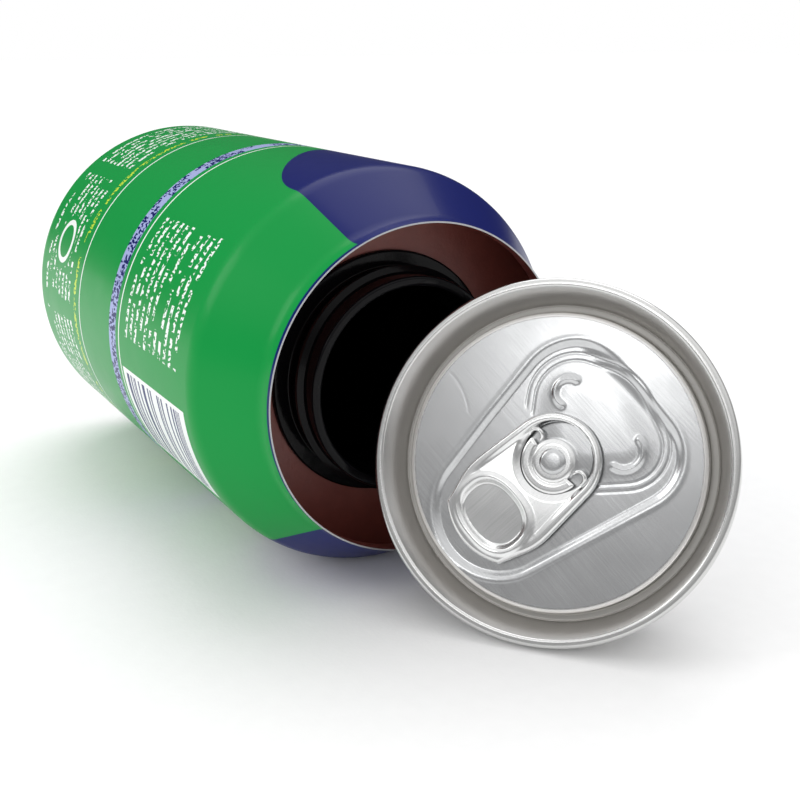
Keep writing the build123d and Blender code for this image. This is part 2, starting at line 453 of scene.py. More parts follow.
# Circles (a, b, radius) that a band is pulled round to draw the recess and the tear panel, and three
# points of each bead and of the scratch.
TEARDROP = [(-7.7, -8.3, 10.3), (2.3, 9.2, 9.4), (10.7, 2.3, 8.05)]
SCORE = [(2.0, 9.3, 7.2), (10.2, 3.4, 6.4), (4.6, 5.9, 9.9)]
BEADS = [((1.9, 12.4), (-1.0, 9.6), (0.1, 8.5)), ((12.1, 4.7), (12.8, 2.9), (8.8, 0.3))]
SCRATCH = ((-17.5, 11.5), (-15.4, 9.2), (-14.0, 6.0))


def panel_height(a, b):
    """Relief of the end's panel: teardrop recess, tear panel with its score lines, beads and rivet boss."""
    out = outside_hull(a, b, TEARDROP)
    step_side = 1 - smooth(0.63 * a + 0.78 * b, 14.5, 18.5)
    recess = 0.47 * smooth(-out, 0.05, 1.2) * step_side
    lip = ridge(out - 0.3, 0.045, 0.35) * step_side
    tear = outside_hull(a, b, SCORE)
    free_side = smooth(0.69 * a + 0.72 * b, 1.6, 2.4)
    grooves = (ridge(tear, 0.055, 0.14) + ridge(tear + 1.1, 0.055, 0.14)) * free_side
    dome = 0.16 * smooth(-tear, 1.4, 6.0)
    beads = sum(ridge(from_line(a, b, arc_points(*bead)), 0.26, 0.42) for bead in BEADS)
    boss = 0.45 * (1 - smooth(np.hypot(a, b), 2.2, 3.6))
    scratch = ridge(from_line(a, b, arc_points(*SCRATCH)), 0.009, 0.12)
    return PANEL_TOP - recess + lip - grooves + dome + beads + boss - scratch


# Outline of the tab, with X towards its nose: half of it, since it is the same on both sides.
NOSE_RADIUS = 7.3
SHOULDER = (-10.0, 8.2)
CUSP = (-16.1, 6.2)
TAIL = -18.2
TAB_HALF_WIDTH = 9.0
WINDOW = 4.9
WINDOW_NOSE = 5.3
WINDOW_SHIFT = 0.95
PAD_MIDDLE = -11.9
CURL = 0.62


def tab_inside(x, y):
    """Distance in from the tab's outline, which has a round nose and two pointed corners at the tail."""
    side = np.abs(y)
    spread = asin((SHOULDER[1] - NOSE_RADIUS) / hypot(SHOULDER[0], SHOULDER[1] - NOSE_RADIUS))
    flank = side * cos(spread) + x * sin(spread) - NOSE_RADIUS
    to_cusp = (CUSP[0] - SHOULDER[0], CUSP[1] - SHOULDER[1])
    run = hypot(*to_cusp)
    cheek = ((x - SHOULDER[0]) * to_cusp[1] - (side - SHOULDER[1]) * to_cusp[0]) / run
    tail_reach = CUSP[0] - TAIL
    tail_radius = (CUSP[1] ** 2 + tail_reach**2) / (2 * tail_reach)
    tail = np.where(x < TAIL + tail_radius, np.hypot(x - TAIL - tail_radius, side) - tail_radius, -1e3)
    nose = np.where(x > 0, np.hypot(x, side) - NOSE_RADIUS, -1e3)
    rounded_shoulder = np.logaddexp(flank * 3, cheek * 3) / 3
    return -np.maximum(np.maximum(rounded_shoulder, tail), nose)


def window_outside(x, y):
    """Distance out from the tab's window, which reaches further towards the nose."""
    return np.minimum(np.hypot(x, y) - WINDOW, np.hypot(x - WINDOW_SHIFT, y) - WINDOW_NOSE)


def pad_outside(x, y):
    """Distance out from the finger pad's rounded loop."""
    half_length, half_width, squareness = 4.5, 5.75, 2.35
    along = np.abs((x - PAD_MIDDLE) / half_length) ** squareness
    across = np.abs(y / half_width) ** squareness
    return ((along + across) ** (1 / squareness) - 1) * half_length


def tab_height(x, y):
    """Relief of the pull tab: curled rim, finger pad with its bead, and the cone round the window."""
    inside = tab_inside(x, y)
    edge = np.clip(inside, 0, CURL)
    curl = np.sqrt(np.maximum(CURL**2 - (CURL - edge) ** 2, 0)) - CURL
    pad = pad_outside(x, y)
    # The web falls a little towards the nose.
    fall = 0.04 * np.clip(x + 9, 0, 13) * smooth(pad, 0, 1.2)
    web = -(0.05 + fall) * smooth(inside, 1.0, 1.8)
    floor = -0.62 * smooth(-pad, 0.15, 0.8)
    bead = ridge(pad - 0.15, 0.16, 0.42)
    cone = -0.45 * (1 - smooth(window_outside(x, y), -0.1, 1.1)) * smooth(inside, 0.9, 1.7)
    return TAB_TOP - 0.06 + curl + web + floor + bead + cone


def tongue_inside(x, y):
    """Distance in from the tongue's outline: round on the rivet, wide towards the crease."""
    radius = np.hypot(x, y)
    small = 3.35 - radius
    large = np.minimum(WINDOW - 0.14 - radius, -0.6 - x + 0.15 * np.abs(y))
    return np.maximum(small, large)


def tongue_height(x, y):
    """Relief of the tongue, with the coined ring round the rivet."""
    ring = -ridge(np.hypot(x, y) - 3.15, 0.13, 0.28)
    edge = -0.12 * (1 - smooth(tongue_inside(x, y), 0, 0.3))
    return TONGUE_TOP + ring + edge


# --- materials ---


def linear(code):
    """Linear colour from an sRGB hex value."""
    parts = [int(code[i : i + 2], 16) / 255 for i in (0, 2, 4)]
    return tuple(p / 12.92 if p <= 0.04045 else ((p + 0.055) / 1.055) ** 2.4 for p in parts) + (1.0,)


def add_node(tree, kind, settings=None, inputs=None):
    """Adds a node with its settings; an input is a value, another node or one of its sockets."""
    node = tree.nodes.new(kind)
    for name, value in (settings or {}).items():
        setattr(node, name, value)
    for key, value in (inputs or {}).items():
        if isinstance(value, bpy.types.Node):
            value = value.outputs[0]
        if isinstance(value, bpy.types.NodeSocket):
            tree.links.new(value, node.inputs[key])
        else:
            node.inputs[key].default_value = value
    return node


def new_material(name, **shader):
    """Material with its shader's own values set; returns the material, its nodes and the shader."""
    material = bpy.data.materials.new(name)
    material.use_nodes = True
    tree = material.node_tree
    principled = tree.nodes["Principled BSDF"]
    for key, value in shader.items():
        principled.inputs[key.replace("_", " ")].default_value = value
    return material, tree, principled


def spot(tree, coordinate, size, detail=3.0, stretch=(1, 1, 1), place=(0, 0, 0), turn=(0, 0, 0)):
    """Cloudy pattern whose spots are about size millimetres, as a factor."""
    mapped = add_node(
        tree,
        "ShaderNodeMapping",
        {"vector_type": "TEXTURE"},
        {"Vector": coordinate, "Location": place, "Rotation": turn, "Scale": stretch},
    )
    return add_node(
        tree,
        "ShaderNodeTexNoise",
        {"noise_dimensions": "3D"},
        {"Vector": mapped, "Scale": 1 / (size * MM), "Detail": detail},
    )


def dress(tree, principled, gloss, bump, tones=None, relief="Normal"):
    """Drives a shader from patterns.

    gloss is a pattern with the least and the most roughness, bump a pattern with its strength and its depth
    in millimetres, and tones a pattern with the dark and the light colour.
    """
    pattern, least, most = gloss
    ends = {"Value": pattern, "To Min": least, "To Max": most}
    roughness = add_node(tree, "ShaderNodeMapRange", inputs=ends)
    tree.links.new(roughness.outputs[0], principled.inputs["Roughness"])
    pattern, strength, depth = bump
    ends = {"Strength": strength, "Distance": depth * MM, "Height": pattern}
    normal = add_node(tree, "ShaderNodeBump", inputs=ends)
    tree.links.new(normal.outputs[0], principled.inputs[relief])
    if tones:
        pattern, dark, light = tones
        ends = {0: pattern, 6: linear(dark), 7: linear(light)}
        colour = add_node(tree, "ShaderNodeMix", {"data_type": "RGBA"}, ends)
        tree.links.new(colour.outputs[2], principled.inputs["Base Color"])


# Blocks of the print: middle and half length along the can, then middle and half width round it.
PRINT_AREAS = {
    "front_text": (78, 13.4, 14, 11),
    "low_text": (78, 13.4, -38, 12),
    "table_text": (79, 13, 76, 14),
    "back_text": (79, 13, -86, 12),
    "table": (79.2, 14.4, 76, 16),
    "table_inside": (79.2, 14.1, 76, 15.7),
    "bar_ground": (78, 15, -11, 8.2),
    "bar_area": (78, 13.6, -11, 7.4),
}


def print_steps(settings):
    """Rows of the print's node chain: name, sum or node, and inputs, where a text is an earlier row.

    along is the place along the can and around the place round it, in millimetres; angle is in radians.
    """
    places = [
        ("along", "MULTIPLY", "X", 1000),
        ("down", "MULTIPLY", "Y", -1),
        ("angle", "ARCTAN2", "Z", "down"),
        ("around", "MULTIPLY", "angle", CAN_RADIUS),
    ]
    # The green field narrows to a tongue that reaches the mouth between two navy shoulders.
    fields = [
        ("from_wave", "SUBTRACT", settings.wave_start / MM, "along"),
        ("behind", "MAXIMUM", "from_wave", 0),
        ("behind_squared", "MULTIPLY", "behind", "behind"),
        ("widening", "MULTIPLY", "behind_squared", settings.wave_growth),
        ("half_width", "ADD", "widening", settings.tongue_half_angle),
        ("turned", "SUBTRACT", "angle", settings.tongue_middle),
        ("one_way", "ABSOLUTE", "turned"),
        ("other_way", "SUBTRACT", 2 * pi, "one_way"),
        ("from_middle", "MINIMUM", "one_way", "other_way"),
        ("shoulders", "GREATER_THAN", "from_middle", "half_width"),
        ("pin_line", "GREATER_THAN", "along", CAN_HEIGHT - PIN_LINE_WIDTH),
        ("navy", "MAXIMUM", "shoulders", "pin_line"),
    ]
    # Fine print: rows of broken strokes that read as small text and spell nothing.
    strokes = [
        ("row", "DIVIDE", "along", TEXT_ROW),
        ("row_number", "FLOOR", "row"),
        ("row_part", "FRACT", "row"),
        ("in_row", "COMPARE", "row_part", 0.5, 0.23),
        ("letter_place", "MULTIPLY", "around", 1.9),
        ("letter_row", "MULTIPLY", "row_number", 7.3),
        ("letters_at", "ShaderNodeCombineXYZ", "letter_place", "letter_row", "along"),
        ("letters", "ShaderNodeTexNoise", "letters_at", None, 1.0, 1.0),
        ("letter", "GREATER_THAN", "letters", 0.5),
        ("word_place", "MULTIPLY", "around", 0.32),
        ("word_row", "MULTIPLY", "row_number", 5.1),
        ("words_at", "ShaderNodeCombineXYZ", "word_place", "word_row"),
        ("words", "ShaderNodeTexNoise", "words_at", None, 1.0, 0.0),
        ("word", "GREATER_THAN", "words", 0.4),
        ("strokes", "MULTIPLY", "letter", "word"),
        ("text", "MULTIPLY", "strokes", "in_row"),
    ]
    areas = []
    for name, (middle, half_length, arc_middle, half_arc) in PRINT_AREAS.items():
        areas += [
            (name + "_along", "COMPARE", "along", middle, half_length),
            (name + "_around", "COMPARE", "around", arc_middle, half_arc),
            (name, "MULTIPLY", name + "_along", name + "_around"),
        ]
    # Seven columns of small print go round the foot, broken by a plain ring.
    foot = [
        ("turns", "MULTIPLY", "around", 7 / (2 * pi * CAN_RADIUS)),
        ("column_part", "FRACT", "turns"),
        ("in_column", "COMPARE", "column_part", 0.5, 0.44),
        ("foot_band", "COMPARE", "along", 21.6, 9.6),
        ("columns", "MULTIPLY", "foot_band", "in_column"),
        ("mark_along", "SUBTRACT", "along", 22.5),
        ("mark_around", "SUBTRACT", "around", 13.0),
        ("mark_along_squared", "MULTIPLY", "mark_along", "mark_along"),
        ("mark_around_squared", "MULTIPLY", "mark_around", "mark_around"),
        ("mark_squared", "ADD", "mark_along_squared", "mark_around_squared"),
        ("mark_distance", "SQRT", "mark_squared"),
        ("mark_ring", "COMPARE", "mark_distance", 3.9, 0.55),
        ("mark_clear", "GREATER_THAN", "mark_distance", 5.6),
        ("foot_text", "MULTIPLY", "columns", "mark_clear"),
    ]
    # White: text in its blocks, the ring, two thin bands, and a ruled table on the navy back.
    white = [
        ("text_1", "MAXIMUM", "foot_text", "front_text"),
        ("text_2", "MAXIMUM", "low_text", "table_text"),
        ("text_3", "MAXIMUM", "text_1", "text_2"),
        ("text_areas", "MAXIMUM", "text_3", "back_text"),
        ("text_ink", "MULTIPLY", "text", "text_areas"),
        ("low_band", "COMPARE", "along", 37.2, 0.22),
        ("high_band", "COMPARE", "along", 61.9, 0.22),
        ("bands", "MAXIMUM", "low_band", "high_band"),
        ("frame_ink", "SUBTRACT", "table", "table_inside"),
        ("on_rule", "COMPARE", "row_part", 0.0, 0.06),
        ("rules", "MULTIPLY", "on_rule", "table"),
        ("table_ink", "MAXIMUM", "frame_ink", "rules"),
        ("white_1", "MAXIMUM", "text_ink", "mark_ring"),
        ("white_2", "MAXIMUM", "bands", "table_ink"),
        ("white", "MAXIMUM", "white_1", "white_2"),
    ]
    # Bar block: even pale ground with navy bars of uneven width. Under it runs a pale blue stripe.
    bars = [
        ("bar_place", "MULTIPLY", "along", 1.5),
        ("bars_at", "ShaderNodeCombineXYZ", "bar_place"),
        ("bar_noise", "ShaderNodeTexNoise", "bars_at", None, 1.0, 0.0),
        ("bar", "GREATER_THAN", "bar_noise", 0.5),
        ("bar_ink", "MULTIPLY", "bar", "bar_area"),
        ("stripe", "COMPARE", "along", 58.2, 1.9),
        ("stripe_ink", "MULTIPLY", "stripe", "strokes"),
        ("yellow_line", "COMPARE", "along", 34, 0.7),
        ("yellow", "MULTIPLY", "yellow_line", "strokes"),
    ]
    return places + fields + strokes + areas + foot + white + bars


def printed_aluminium(settings):
    """Drawn aluminium can wall, offset-printed in flat inks under a clear overvarnish: even, bright colour
    with a hard, thin gloss on top and fine print in white."""
    material, tree, principled = new_material(
        "printed_aluminium_gloss", Specular_IOR_Level=0.12, Coat_Weight=0.08, Coat_Roughness=0.1
    )
    place = add_node(tree, "ShaderNodeTexCoord").outputs["Object"]
    axes = add_node(tree, "ShaderNodeSeparateXYZ", inputs={"Vector": place})
    values = {axis: axes.outputs[axis] for axis in "XYZ"}
    for name, step, *terms in print_steps(settings):
        inputs = {i: values.get(term, term) for i, term in enumerate(terms) if term is not None}
        if step.startswith("ShaderNode"):
            values[name] = add_node(tree, step, None, inputs)
        else:
            values[name] = add_node(tree, "ShaderNodeMath", {"operation": step}, inputs)

    navy = tuple(settings.navy_ink)
    inks = [
        ("navy", navy),
        ("stripe", linear("9fa9d6")),
        ("stripe_ink", navy),
        ("yellow", linear("c5dc3c")),
        ("white", linear("eef3f0")),
        ("bar_ground", linear("f2f4f4")),
        ("bar_ink", navy),
    ]
    ink = tuple(settings.green_ink)
    for name, colour in inks:
        inputs = {0: values[name], 6: ink, 7: colour}
        ink = add_node(tree, "ShaderNodeMix", {"data_type": "RGBA"}, inputs).outputs[2]
    tree.links.new(ink, principled.inputs["Base Color"])

    # The varnish is laid by roller, so its gloss varies a little in patches of about 6 mm.
    varnish = (spot(tree, place, 6), 0.26, 0.38)
    skin = (spot(tree, place, 1.2), 0.06, 0.03)
    dress(tree, principled, varnish, skin, relief="Coat Normal")
    return material


def lined_material(name, dark, light, size, roughness, bump_depth, **shader):
    """Material whose colour drifts between two close tones in patches of a real size."""
    material, tree, principled = new_material(name, **shader)
    place = add_node(tree, "ShaderNodeTexCoord").outputs["Object"]
    gloss = (spot(tree, place, size * 2), *roughness)
    bump = (spot(tree, place, size / 4), 0.5, bump_depth)
    dress(tree, principled, gloss, bump, (spot(tree, place, size), dark, light))
    return material


def inside_lacquer():
    """Brown epoxy lacquer sprayed inside a can: an even, half-glossy film over metal."""
    return lined_material(
        "epoxy_lacquer_brown", "86443f", "944d47", 3.0, (0.3, 0.42), 0.02, Metallic=0.35, Coat_Weight=0.2
    )


def cast_resin():
    """Filled polyester casting resin: dull red-brown with a skin that pooled as it set."""
    return lined_material("cast_polyester_resin", "763a33", "87453b", 2.2, (0.34, 0.5), 0.12, IOR=1.56)


def cut_edge():
    """Trimmed aluminium edge: bright and finely scored by the cutter."""
    return lined_material("trimmed_aluminium_edge", "9b9da0", "c0c1c3", 0.4, (0.22, 0.4), 0.02, Metallic=1.0)


def drawn_aluminium():
    """Bare drawn and ironed aluminium of the can's foot and dome: satin, with a soft sheen."""
    return lined_material("drawn_aluminium_satin", "bcbdbe", "cfd0d1", 2.0, (0.28, 0.4), 0.02, Metallic=1.0)


def moulded_black():
    """Injection-moulded black polypropylene, polished tool: deep black with sharp highlights."""
    shine = {"IOR": 1.49, "Specular_IOR_Level": 0.13}
    return lined_material("moulded_polypropylene_gloss", "08080a", "0d0d0f", 4.0, (0.08, 0.16), 0.03, **shine)


def moulded_satin():
    """Injection-moulded black polypropylene cap: satin from a spark-eroded tool."""
    return lined_material("moulded_polypropylene_satin", "101013", "18181b", 1.0, (0.38, 0.5), 0.05, IOR=1.49)


def seam_rubber():
    """Water-based seam compound: matt grey-green rubber film."""
    return lined_material("seam_compound_matt", "858a80", "959a90", 0.8, (0.7, 0.85), 0.05)


def clear_glue():
    """Cured epoxy glue: pale, a little glassy, with trapped clouds."""
    return lined_material("cured_epoxy", "d2caac", "e2dcc8", 1.5, (0.2, 0.4), 0.05, IOR=1.55)


def liner_foam():
    """Foamed polyethylene liner: white, matt, with fine closed cells."""
    return lined_material("foamed_polyethylene", "dfddd6", "efede8", 0.5, (0.6, 0.75), 0.06, IOR=1.5)


def rolled_aluminium(name, turn, roughness, grain, dark, light):
    """Rolled aluminium end stock with a thin clear coat: bright, with faint straight rolling lines that
    spread the highlight across them. turn sets the rolling direction in the lid's plane."""
    material, tree, principled = new_material(
        name, Metallic=1.0, Roughness=roughness, Coat_Weight=0.15, Coat_Roughness=0.12
    )
    place = add_node(tree, "ShaderNodeTexCoord").outputs["Object"]
    lined_up = LID @ Matrix.Rotation(turn, 4, "Z")
    start, slant = tuple(lined_up.to_translation()), tuple(lined_up.to_euler())
    # Rolling lines are about 0.05 mm apart on the real sheet; 0.2 mm is the finest that shows.
    lines = spot(tree, place, 0.2, 0.0, (90, 1, 1), start, slant)
    gloss = (spot(tree, place, 5.0, 4.0), roughness - 0.05, roughness + 0.05)
    dress(tree, principled, gloss, (lines, grain, 0.02), (lines, dark, light))
    return material


def spun_aluminium(name, roughness, dark, light):
    """Aluminium rolled round by the seaming chuck and rolls: fine rings about the lid's axis."""
    material, tree, principled = new_material(
        name, Metallic=1.0, Roughness=roughness, Coat_Weight=0.15, Coat_Roughness=0.1
    )
    place = add_node(tree, "ShaderNodeTexCoord").outputs["Object"]
    centred = add_node(
        tree,
        "ShaderNodeMapping",
        {"vector_type": "TEXTURE"},
        {"Vector": place, "Location": tuple(LID.to_translation()), "Rotation": tuple(LID.to_euler())},
    )
    axes = add_node(tree, "ShaderNodeSeparateXYZ", inputs={"Vector": centred})
    flat = add_node(tree, "ShaderNodeCombineXYZ", inputs={"X": axes.outputs["X"], "Y": axes.outputs["Y"]})
    radius = add_node(tree, "ShaderNodeVectorMath", {"operation": "LENGTH"}, {0: flat})
    rings_at = add_node(
        tree, "ShaderNodeCombineXYZ", inputs={"X": radius.outputs["Value"], "Y": axes.outputs["Z"]}
    )
    # Roll marks are about 0.1 mm wide, drawn at 0.18 mm so that they show.
    rings = add_node(
        tree, "ShaderNodeTexNoise", inputs={"Vector": rings_at, "Scale": 1 / (0.18 * MM), "Detail": 2.0}
    )
    gloss = (spot(tree, place, 4.0), roughness - 0.04, roughness + 0.04)
    dress(tree, principled, gloss, (rings, 0.15, 0.02), (rings, dark, light))
    return material


def matt_backdrop():
    """Matt white card: plain and pale, with a faint tooth."""
    return lined_material("white_card", "f4f4f4", "f8f8f8", 3.0, (0.9, 1.0), 0.05, Specular_IOR_Level=0.0)


# --- settings ---


class CanSettings(bpy.types.PropertyGroup):
    """Sizes and colours of the can that a user would change."""

    green_ink: bpy.props.FloatVectorProperty(
        name="Green ink",
        description="Colour of the field",
        subtype="COLOR",
        size=4,
        default=linear("089240"),
    )
    navy_ink: bpy.props.FloatVectorProperty(
        name="Navy ink",
        description="Colour of the shoulders and of the dark print",
        subtype="COLOR",
        size=4,
        default=linear("071560"),
    )
    tongue_middle: bpy.props.FloatProperty(
        name="Tongue middle",
        description="Angle of the green tongue's middle round the can, from the side that faces the viewer",
        subtype="ANGLE",
        default=radians(7),
    )
    tongue_half_angle: bpy.props.FloatProperty(
        name="Tongue half angle",
        description="Half the angle that the green tongue takes up at the mouth",
        subtype="ANGLE",
        default=radians(58),
    )
    wave_start: bpy.props.FloatProperty(
        name="Wave start",
        description="Place along the can below which the green field widens",
        unit="LENGTH",
        default=0.095,
    )
    wave_growth: bpy.props.FloatProperty(
        name="Wave growth",
        description="How fast the green field widens, in radians per square millimetre",
        default=radians(0.045),
        precision=5,
    )


class LidSettings(bpy.types.PropertyGroup):
    """Sizes of the lid's finish that a user would change."""

    panel_cell: bpy.props.FloatProperty(
        name="Panel cell",
        description="Size of the panel mesh's cells, which sets how fine its score lines are",
        unit="LENGTH",
        default=0.00017,
        precision=5,
    )
    tab_cell: bpy.props.FloatProperty(
        name="Tab cell",
        description="Size of the tab mesh's cells",
        unit="LENGTH",
        default=0.00012,
        precision=5,
    )
    cap_ribs: bpy.props.IntProperty(
        name="Cap ribs",
        description="Number of grip ribs round the screw cap's skirt",
        default=60,
    )


class StageSettings(bpy.types.PropertyGroup):
    """Camera and light."""

    focal_length: bpy.props.FloatProperty(
        name="Focal length",
        description="Camera focal length in millimetres",
        unit="CAMERA",
        default=52.34,
    )
    sky: bpy.props.FloatProperty(
        name="Sky strength",
        description="Strength of the white surround",
        default=1.0,
    )


# --- operators, one for each piece or group of like pieces ---


def shell_line():
    """Outside of the can from the middle of the dome to the mouth, as (radius, axial place)."""
    neck_corner = CAN_HEIGHT - NECK_LIP - SHOULDER_ROUND * tan(SHOULDER_ANGLE / 2)
    shoulder_run = (CAN_RADIUS - MOUTH_RADIUS) / tan(SHOULDER_ANGLE)
    chime_run = (CAN_RADIUS - STAND_OUTER) / tan(CHIME_ANGLE)
    points = [
        (0, DOME_HEIGHT),
        (DOME_FLAT, DOME_HEIGHT),
        (STAND_INNER, STAND_RISE),
        (STAND_INNER, 0),
        (STAND_OUTER, 0),
        (CAN_RADIUS, chime_run),
        (CAN_RADIUS, neck_corner - shoulder_run),
        (MOUTH_RADIUS, neck_corner),
        (MOUTH_RADIUS, CAN_HEIGHT),
    ]
    return rounded(points, [42, 1.5, 1.5, 1.5, 7, 6, SHOULDER_ROUND], 12)


class CAN_OT_shell(bpy.types.Operator):
    """Printed can body, lacquered inside, with its trimmed mouth"""

    bl_idname = "can.shell"
    bl_label = "Shell"

    def execute(self, context):
        piece = turned("can_body", shell_line(), 256)
        widest = max(piece.data.polygons, key=lambda face: hypot(face.center.x, face.center.y))
        if widest.normal.dot(widest.center) < 0:
            piece.data.flip_normals()
        printed = printed_aluminium(context.scene.can_settings)
        coats = [printed, inside_lacquer(), cut_edge(), drawn_aluminium()]
        for coat in coats:
            piece.data.materials.append(coat)
        thicken(piece, SHELL_WALL, 1, 2)
        indices = [face.material_index for face in piece.data.polygons]
        # The foot and the dome inside it are bare.
        for face in piece.data.polygons:
            place = face.center / MM
            foot = place.z < BARE_HEIGHT or hypot(place.x, place.y) < BARE_RADIUS
            if face.material_index == 0 and foot and place.z < CAN_HEIGHT / 2:
                indices[face.index] = 3
        finish_piece(piece, CAN, "can", "can_shell", coats, 60)
        piece.data.polygons.foreach_set("material_index", indices)
        return {"FINISHED"}


class CAN_OT_jar(bpy.types.Operator):
    """Black threaded jar cast inside the can"""

    bl_idname = "can.jar"
    bl_label = "Jar"

    def execute(self, context):
        base = JAR_LOW.x / MM
        foot = FLANGE_X - FLANGE_THICK - JAR_SHOULDER
        bore = JAR_RADIUS - JAR_WALL
        outline = [
            (0, base),
            (JAR_RADIUS, base),
            (JAR_RADIUS, foot),
            (NECK_RADIUS, FLANGE_X - FLANGE_THICK),
            (FLANGE_RADIUS, FLANGE_X - FLANGE_THICK),
            (FLANGE_RADIUS, FLANGE_X),
            (NECK_RADIUS, FLANGE_X),
            (NECK_RADIUS, RIM_X),
            (NECK_BORE, RIM_X),
            (NECK_BORE, foot + 1.85),
            (bore, foot - 0.75),
            (bore, base + JAR_WALL),
            (0, base + JAR_WALL),
        ]
        radii = [3, 1, 0.3, 0.3, 0.35, 0.5, 0.5, 0.5, 0.8, 1.0, 1.5]
        body = turned("jar_body", rounded(outline, radii, 6), 192)
        thread = screw_ridge("jar_ridge", NECK_RADIUS, JAR_CREST, RIM_X - JAR_RIDGE_DROP)
        jar = joined([body, thread])
        finish_piece(jar, CAN, "can", "inner_jar", [moulded_black()], 50)
        return {"FINISHED"}


class CAN_OT_fillings(bpy.types.Operator):
    """Finishes of the cast filler, neck ring, seam compound, glue and liner, whose shapes stay as they are in
    model.glb
    """

    bl_idname = "can.fillings"
    bl_label = "Filler, ring, compound, glue and liner"

    def execute(self, context):
        finishes = {
            "filler_cast": cast_resin(),
            "neck_ring": cut_edge(),
            "seam_compound": seam_rubber(),
            "cap_adhesive": clear_glue(),
            "cap_liner": liner_foam(),
        }
        for node, material in finishes.items():
            mesh = frame["nodes"][node].data
            mesh.materials.clear()
            mesh.materials.append(material)
        return {"FINISHED"}


class CAN_OT_end(bpy.types.Operator):
    """Stamped end: panel with its relief, countersink, chuck wall, seam and rivet"""

    bl_idname = "can.end"
    bl_label = "End"

    def execute(self, context):
        settings = context.scene.lid_settings
        metal = rolled_aluminium("rolled_aluminium_end", radians(-42), 0.24, 0.06, "c2c3c4", "d2d3d4")
        cell = settings.panel_cell / MM
        panel = pressed(
            "end_panel",
            lambda a, b: PANEL_EDGE - np.hypot(a, b),
            panel_height,
            PANEL_UNDERSIDE,
            cell,
            (-PANEL_EDGE - cell, -PANEL_EDGE - cell),
            (PANEL_EDGE + cell, PANEL_EDGE + cell),
        )
        finish_piece(panel, LID, "lid", "can_end", [metal], 60)

        points = [
            (PANEL_EDGE - 0.1, PANEL_TOP),
            (PANEL_WALL, PANEL_TOP),
            (GROOVE_INNER, GROOVE_FLOOR),
            (GROOVE_OUTER, GROOVE_FLOOR),
            (SEAM_RADIUS - SEAM_WIDTH, 0),
            (SEAM_RADIUS, 0),
            (SEAM_RADIUS, -SEAM_HEIGHT),
            (SEAM_HOOK, -SEAM_HEIGHT),
            (SEAM_HOOK, -1.0),
        ]
        line = rounded(points, [0.6, 0.5, 0.45, 0.5, 0.55, 0.33, 0.33], 8)
        ring = turned("end_seam_ring", line, 256)
        highest = max(ring.data.polygons, key=lambda face: face.center.z)
        if highest.normal.z < 0:
            ring.data.flip_normals()
        thicken(ring, END_WALL)
        # Finish of each face: 0 on the seam, 1 on the chuck wall, with painted light, 2 in the countersink,
        # with painted shade.
        coats = []
        for face in ring.data.polygons:
            place = face.center / MM
            radius = hypot(place.x, place.y)
            in_groove = PANEL_WALL < radius < GROOVE_OUTER - 0.1 and place.z < GROOVE_FLOOR + 0.8
            coats.append(2 if in_groove else int(radius < SEAM_RADIUS - 1.35))
        seam = spun_aluminium("seamed_aluminium_bright", 0.24, "c8c8c7", "dededd")
        # The chuck wall has paler tones than the seam: painted light that stands in for the brighter
        # reflection of its band.
        chuck_wall = spun_aluminium("chuck_wall_satin_painted_light", 0.33, "dedddb", "eceae8")
        # The countersink has darker tones than the seam: painted shade of the groove, on metal that is also
        # duller.
        groove = spun_aluminium("countersink_dull_painted_shade", 0.42, "a3a19d", "b5b3af")
        finish_piece(ring, LID, "lid", "can_end", [seam, chuck_wall, groove], 60)
        ring.data.polygons.foreach_set("material_index", coats)

        # The rivet's head is slightly domed and stands on a wider foot that was pressed flat.
        head = [(0, -2.52), (1.2, -2.56), (1.75, -2.66), (1.9, -2.8), (1.9, -3.0)]
        foot = [(2.25, -3.02), (2.3, -3.3), (2.3, -4.3), (0, -4.3)]
        button = rounded(head + foot, [3, 1, 0.12, 0.08, 0.08, 0.05, 0.05], 4)
        rivet = turned("end_rivet", button, 96)
        finish_piece(rivet, LID, "lid", "can_end", [metal], 40)
        return {"FINISHED"}


def tab_hook(name, x, y, turn):
    """Rolled lip where the slot round the tongue ends: an open hook that thins and dips to both ends."""
    reach, thickness, lift = 0.95, 0.32, 0.6
    open_from = radians(118)
    deselect_all()
    bpy.ops.mesh.primitive_torus_add(
        major_radius=reach * MM, minor_radius=thickness * MM, major_segments=48, minor_segments=14
    )
    hook = bpy.context.object
    hook.name = name
    places = vertices_of(hook.data)
    select_vertices(hook.data, np.abs(np.arctan2(places[:, 1], places[:, 0])) > open_from)
    edit()
    bpy.ops.mesh.delete(type="VERT")
    bpy.ops.mesh.select_mode(type="EDGE")
    select_open_edges()
    bpy.ops.mesh.fill()
    deselect_all()
    places = vertices_of(hook.data) / MM
    angle = np.arctan2(places[:, 1], places[:, 0])
    towards_end = (np.abs(angle) / open_from) ** 2
    centre = np.stack([reach * np.cos(angle), reach * np.sin(angle), 0 * angle], 1)
    places = centre + (places - centre) * (1 - 0.4 * towards_end)[:, None]
    places[:, 2] -= 0.3 * towards_end
    write_vertices(hook.data, places * MM)
    place = Matrix.Translation((x * MM, y * MM, (TAB_FLOOR + lift) * MM))
    hook.data.transform(place @ Matrix.Rotation(turn, 4, "Z"))
    return hook


